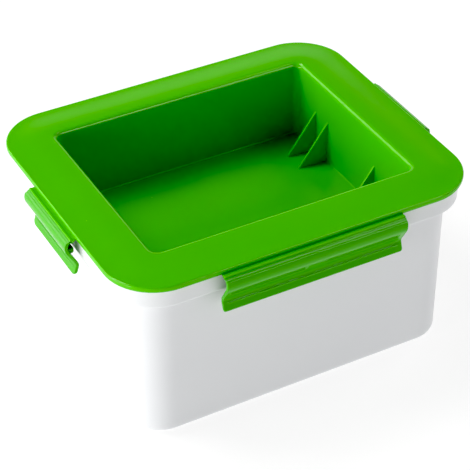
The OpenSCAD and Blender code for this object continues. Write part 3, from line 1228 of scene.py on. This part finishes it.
@dataclass
class SnapLatch:
    """One hinged latch: a bead, a bulge, a straight run with pockets, a waist and a finger lip."""

    side: Side
    body: str
    node: str
    thickness: float = 1.5
    reach: float = 4.88
    drop: float = 21.5
    bead: float = 0.6
    bead_back: tuple[float, float] = (225.0, 100.0)
    bead_front: tuple[float, float] = (24.0, 0.0)
    flat_support: float = 0.08
    crest: tuple[float, float] = (3.694, -4.788)
    crest_r: float = 0.9
    crest_top: float = 62.0
    bulge_r: float = 5.15
    bulge_height: float = -6.5
    bulge_top: float = 20.0
    bulge_end: float = -30.0
    waist_r: float = 2.75
    waist_height: float = -14.9
    flare: float = 16.0
    end_round: float = 0.35
    lip_corner_long: float = 1.1
    lip_corner_short: float = 2.4
    lip_bead: float = 0.3
    lip_bead_half: float = 0.4
    lip_bead_height: float = -17.9
    lip_bead_end: float = 2.0
    pocket_from: float = 5.0
    pocket_to: float = 39.5
    pocket_share: float = 0.35
    pocket_half: float = 1.5
    pocket_depth: float = 0.62
    pocket_slope: float = 0.5
    catch_length: float = 32.5

    @property
    def lip_corner(self) -> float:
        """Rounding of the lip's two lower corners, wider on a short latch."""
        return self.lip_corner_long if self.side.is_long else self.lip_corner_short

    def way(self, degrees: float) -> Array:
        """Unit vector in the section at an angle: out from the lid at 0 and up at 90."""
        return units(math.radians(degrees))

    def middle_line(self) -> MiddleLine:
        """Draws the middle line from the hinge to the lip.

        It is an arc of the bulge's radius, a straight run along its tangent, an arc of the
        waist's radius bent the other way, and the lip's straight run. The lip's bead is half an
        ellipse: its height times the root of 1 less the square of the way across.

        Returns:
            The line.
        """
        half = self.thickness / 2
        centre = (self.reach - half - self.bulge_r, self.bulge_height)
        bulge_turn = np.linspace(self.bulge_top, self.bulge_end, 16)
        bulge = arc(centre, self.bulge_r, bulge_turn)
        start, down = bulge[-1], self.way(self.bulge_end - 90)
        run = (start[1] - self.waist_height) / -down[1]
        straight = start + np.linspace(0, run, 40)[1:-1, None] * down
        waist_centre = start + run * down + self.waist_r * self.way(self.bulge_end)
        waist_turn = np.linspace(180 + self.bulge_end, 180 + self.flare, 12)
        waist = arc(waist_centre, self.waist_r, waist_turn)
        lip_down = self.way(self.flare - 90)
        lip_run = (waist[-1][1] + self.drop - half) / -lip_down[1]
        bead = (waist[-1][1] - self.lip_bead_height) / -lip_down[1] / lip_run
        bead_half = self.lip_bead_half / lip_run
        near = bead + np.linspace(-1.05, 1.05, 13) * bead_half
        step = np.unique(np.concatenate([near, np.linspace(0, 1, 8)[1:]]))
        step = step[(step > 0.02) & (step <= 1.0)]
        lip = waist[-1] + step[:, None] * lip_run * lip_down
        level = (np.full(len(straight), self.bulge_end), np.full(len(lip), self.flare))
        return MiddleLine(
            points=np.concatenate([bulge, straight, waist, lip]),
            normals=np.concatenate([bulge_turn, level[0], waist_turn - 180, level[1]]),
            lip_share=np.concatenate([np.zeros(len(bulge) + len(straight) + len(waist)), step]),
            lip_bump=self.lip_bead * np.sqrt(np.maximum(1 - ((step - bead) / bead_half) ** 2, 0)),
            pocket=start + self.pocket_share * run * down,
        )

    def section(self, line: MiddleLine) -> tuple[Array, Array]:
        """The closed section of the latch.

        Args:
            line: its middle line.

        Returns:
            The loop, and for each point three weights: its share of the lip, 1 where it lies on
            the outer face, and how far the lip's fine bead stands out there.
        """
        half = self.thickness / 2
        normal = units(np.radians(line.normals))
        outer, inner = line.points + normal * half, line.points - normal * half
        tip = arc(line.points[-1], half, np.linspace(self.flare, self.flare - 180, 10)[1:-1])
        back = arc(HINGE, self.bead, np.linspace(*self.bead_back, 14))
        front = arc(HINGE, self.bead, np.linspace(*self.bead_front, 4))
        share = np.array([[self.flat_support], [1 - self.flat_support]])
        flat = back[-1] + (front[0] - back[-1]) * share
        crest = arc(self.crest, self.crest_r, np.linspace(self.crest_top, self.bulge_top, 8)[:-1])
        hinge = np.concatenate([back, flat, front, crest])
        loop = np.concatenate([outer, tip, inner[::-1], hinge])
        shares = [line.lip_share, np.ones(len(tip)), line.lip_share[::-1], np.zeros(len(hinge))]
        face = np.arange(len(loop)) < len(outer)
        bump = np.zeros(len(loop))
        bump[len(outer) - len(line.lip_bump) : len(outer)] = line.lip_bump
        weights = np.stack([np.concatenate(shares), face, bump], 1)
        if (anticlockwise(loop) != loop).any():
            loop, weights = loop[::-1], weights[::-1]
        return loop, weights

    def stations(self) -> tuple[Array, Array]:
        """Places along the latch, close together where its ends and its pockets turn.

        Returns:
            The places, and how far the section is drawn in at each.
        """
        half = self.side.latch_length / 2
        ends, inset = rounded_stations(half, self.end_round)
        count = len(ends) // 2
        flat = half - self.end_round
        corner = flat - np.linspace(0.4, self.lip_corner + 0.3, 7)
        inner = flat - self.lip_corner - 0.6
        bead_end = half - self.lip_bead_end + np.linspace(-0.4, 0.4, 5)
        marks = [np.linspace(-inner, inner, 17), bead_end, -bead_end, corner, -corner]
        if self.side.is_long:
            around = np.linspace(-0.9, 0.9, 10)
            for place in (self.pocket_from, self.pocket_to):
                marks += [place + around, -place + around]
        middle = np.unique(np.round(np.concatenate(marks), 4))
        middle = middle[np.abs(middle) < flat - 0.3]
        places = np.concatenate([ends[:count], middle, ends[count:]])
        return places, np.concatenate([inset[:count], np.zeros(len(middle)), inset[count:]])

    def shell(self) -> Shell:
        """The latch's body.

        Near each end the lip is drawn up along its own slope by r less the root of r squared less
        the square of the way into the corner, which rounds its corners. In a pocket the outer face
        sinks along its normal by the depth times two soft steps, one along and one across. The
        lip's fine bead stands out along the lip's normal and stops short of the ends.
        """
        line = self.middle_line()
        loop, weights = self.section(line)
        lips, face, bump = weights.T
        places, inset = self.stations()
        far = np.abs(places)
        half, r = self.side.latch_length / 2, self.lip_corner
        into = np.clip(r - (half - far), 0, r)
        lift = r - np.sqrt(np.maximum(r * r - into * into, 0))
        move = -np.multiply.outer(np.outer(lift, lips), self.way(self.flare - 90))
        if self.side.is_long:
            along = soft_step((far - self.pocket_from) / self.pocket_slope)
            along = along * soft_step((self.pocket_to - far) / self.pocket_slope)
            offset = (loop - line.pocket) @ self.way(self.bulge_end - 90)
            across = soft_step((self.pocket_half - np.abs(offset)) / 0.3) * face
            depth = self.pocket_depth * np.outer(along, across)
            move = move - np.multiply.outer(depth, self.way(self.bulge_end))
        bead_run = soft_step((half - self.lip_bead_end - far) / 0.3)
        move = move + np.multiply.outer(np.outer(bead_run, bump), self.way(self.flare))
        return prism(loop, places, inset, move)

    def catches(self) -> Shell:
        """The ribs inside the latch that catch below the tub's lugs.

        Their corners are distances out from the lid's edge and up from its top.
        """
        one = rib(
            [
                (1.9, -10.6, 0),
                (-1.0, -10.6, 0.2),
                (-1.0, -12.4, 0.25),
                (-0.65, -13.0, 0.15),
                (1.1, -13.0, 0.1),
                (2.4, -10.6, 0.1),
                (2.0, -10.6, 0),
            ],
            self.catch_length,
        )
        return joined([one.moved(0, y, 0) for y in self.side.catch_places])

    def build(self, finish: bpy.types.Material) -> None:
        """Makes the latch's pieces."""
        parts = {f"{self.node}_body": self.shell(), f"{self.node}_catches": self.catches()}
        shells = {name: on_side(shell, self.side) for name, shell in parts.items()}
        stand_in(shells, finish, self.body, self.node)


# ---------------------------------------------------------------- studio


@dataclass(frozen=True)
class Lamp:
    """A soft rectangular light that faces the press.

    Its way is its azimuth and elevation in degrees, its distance and size are in metres, and its
    glow is how bright it looks beside a white of 1. A lamp that isn't lighting only shows in the
    gloss.
    """

    name: str
    way: tuple[float, float]
    far: float
    size: tuple[float, float]
    glow: float
    lighting: bool = True

    def hang(self, target: Vector) -> None:
        """Hangs the light, with its power the glow times pi times its area.

        Args:
            target: where it points.
        """
        data = bpy.data.lights.new(self.name, "AREA")
        data.shape = "RECTANGLE"
        data.size, data.size_y = self.size
        data.energy = self.glow * math.pi * self.size[0] * self.size[1]
        az, el = (math.radians(v) for v in self.way)
        way = Vector((math.cos(az) * math.cos(el), math.sin(az) * math.cos(el), math.sin(el)))
        lamp = bpy.data.objects.new(self.name, data)
        lamp.location = target + self.far * way
        lamp.rotation_euler = (-way).to_track_quat("-Z", "Y").to_euler()
        lamp.visible_diffuse = self.lighting
        bpy.context.scene.collection.objects.link(lamp)


LAMPS = (
    Lamp("key_behind", (135.0, 57.0), 1.4, (0.62, 0.62), 9.9),
    Lamp("low_left", (180.0, 10.0), 1.3, (1.05, 0.5), 6.8),
    Lamp("high_right", (0.0, 50.0), 1.4, (0.62, 0.8), 2.8),
    Lamp("gloss_front", (-62.0, 36.0), 1.2, (0.7, 0.4), 6.0, lighting=False),
    Lamp("gloss_behind", (128.0, 30.0), 1.5, (0.7, 0.7), 3.2, lighting=False),
)


@dataclass
class Studio:
    """Pale floor, soft lights and the photograph's camera."""

    focal_px: float = 1792.43
    elevation: float = 37.011
    roll: float = -0.194
    azimuth: float = -28.430
    place: tuple[float, float, float] = (-303.59, -563.21, 522.56)
    target: tuple[float, float, float] = (0.0, 0.0, 0.05)
    floor_half: float = 6.0
    table_glow: float = 0.787
    band_strength: float = 0.98
    band_front: tuple[float, float] = (8.0, 30.0)
    band_behind: tuple[float, float] = (26.0, 33.0)
    behind_from: float = -0.1
    behind_to: float = 0.4
    roof_strength: float = 0.08
    black_point: float = 0.05

    def camera(self) -> None:
        """Puts the camera at the photograph's place and angle."""
        el, roll, az = (math.radians(v) for v in (self.elevation, self.roll, self.azimuth))
        back = Vector((math.sin(az) * math.cos(el), -math.cos(az) * math.cos(el), math.sin(el)))
        right = (-back).cross(Vector((0, 0, 1))).normalized()
        up = right.cross(-back)
        right_r = right * math.cos(roll) + up * math.sin(roll)
        up_r = -right * math.sin(roll) + up * math.cos(roll)
        data = bpy.data.cameras.new("camera")
        data.sensor_width = SENSOR_MM
        data.lens = self.focal_px * SENSOR_MM / FRAME_PIXELS
        data.clip_start, data.clip_end = 0.01, 20.0
        camera = bpy.data.objects.new("camera", data)
        turn = Matrix((right_r, up_r, back)).transposed().to_4x4()
        camera.matrix_world = Matrix.Translation(Vector(self.place) * MM) @ turn
        bpy.context.scene.collection.objects.link(camera)
        bpy.context.scene.camera = camera

    def floor(self) -> None:
        """Lays the pale floor, a light table whose own glow softens the shadows."""
        mesh = bpy.data.meshes.new("floor")
        size = self.floor_half
        corners = [(-size, -size, 0), (size, -size, 0), (size, size, 0), (-size, size, 0)]
        mesh.from_pydata(corners, [], [(0, 1, 2, 3)])
        floor = bpy.data.objects.new("floor", mesh)
        bpy.context.scene.collection.objects.link(floor)
        material = bpy.data.materials.new("floor_paper")
        material.use_nodes = True
        sheet = NodeSheet(material.node_tree)
        noise = sheet.noise(sheet.add("ShaderNodeTexCoord").outputs["Object"], Scale=30.0)
        sheet.feed(
            material.node_tree.nodes["Principled BSDF"],
            {
                "Base Color": sheet.mixed(noise, (0.29,) * 3, (0.27,) * 3),
                "Emission Color": (1.0, 1.0, 1.0, 1.0),
                "Emission Strength": self.table_glow,
                "Roughness": 0.9,
                "Specular IOR Level": 0.1,
            },
        )
        mesh.materials.append(material)

    def paint_world(self, world: bpy.types.World) -> None:
        """Paints a studio with a bright band round the horizon below a dark roof.

        The band fades out between two elevations, lower in front of the press than behind it, so
        the well stays deep in colour and the lid's flat top mirrors the dark roof.

        Args:
            world: the world that is painted.
        """
        sheet = NodeSheet(world.node_tree)
        way = sheet.add("ShaderNodeTexCoord").outputs["Generated"]
        split = sheet.feed(sheet.add("ShaderNodeSeparateXYZ"), {0: way})
        fades = [
            sheet.soft_range(
                split.outputs["Z"],
                (math.sin(math.radians(low)), math.sin(math.radians(high))),
                (self.band_strength, self.roof_strength),
            )
            for low, high in (self.band_front, self.band_behind)
        ]
        turn = (self.behind_from, self.behind_to)
        behind = sheet.soft_range(split.outputs["Y"], turn, (0.0, 1.0))
        blend = sheet.add("ShaderNodeMix", data_type="FLOAT")
        sheet.feed(blend, {"Factor": behind, 2: fades[0], 3: fades[1]})
        sheet.feed(
            world.node_tree.nodes["Background"],
            {"Strength": blend.outputs[0], "Color": (1.0, 1.0, 1.0, 1.0)},
        )

    def build(self) -> None:
        """Sets up floor, lights, backdrop and camera."""
        scene = bpy.context.scene
        scene.view_settings.view_transform = "Standard"
        scene.view_settings.use_curve_mapping = True
        scene.view_settings.curve_mapping.black_level = (self.black_point,) * 3
        scene.view_settings.curve_mapping.update()
        world = bpy.data.worlds.new("studio_world")
        world.use_nodes = True
        self.paint_world(world)
        scene.world = world
        self.floor()
        for lamp in LAMPS:
            lamp.hang(Vector(self.target))
        self.camera()


def corners(bounds: tuple[Vector, Vector]) -> list[list[float]]:
    """Two corners of a box as plain lists."""
    return [list(map(float, corner)) for corner in bounds]


def main() -> None:
    """Builds the press and its studio."""
    logging.basicConfig(level=logging.INFO, format="%(message)s")
    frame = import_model()
    for make_group in (moulding_flow, mould_grain, surface_specks, handling_scuffs):
        make_group()
    finishes = {
        finish.name: finish.build()
        for finish in (LID_GREEN, LATCH_GREEN, TUB_WHITE, DRAINER_WHITE, SEAL_SILICONE)
    }
    node_finish = {
        "outer_tub": TUB_WHITE,
        "drain_basket": DRAINER_WHITE,
        "press_lid": LID_GREEN,
        "lid_seal": SEAL_SILICONE,
    }
    for name, node in frame["nodes"].items():
        node.data.materials.clear()
        node.data.materials.append(finishes[node_finish.get(name, LATCH_GREEN).name])

    Tub().build(finishes["tub_white"])
    Drainer().build(finishes["drainer_white"])
    PressLid().build(finishes["lid_green"])
    Seal().build(finishes["seal_silicone"])
    for side, body, node in (
        (Side.FRONT, "front_latch", "latch_front"),
        (Side.REAR, "rear_latch", "latch_rear"),
        (Side.LEFT, "left_latch", "latch_left"),
        (Side.RIGHT, "right_latch", "latch_right"),
    ):
        SnapLatch(side, body, node).build(finishes["latch_green"])
    Studio().build()


if __name__ == "__main__":
    main()
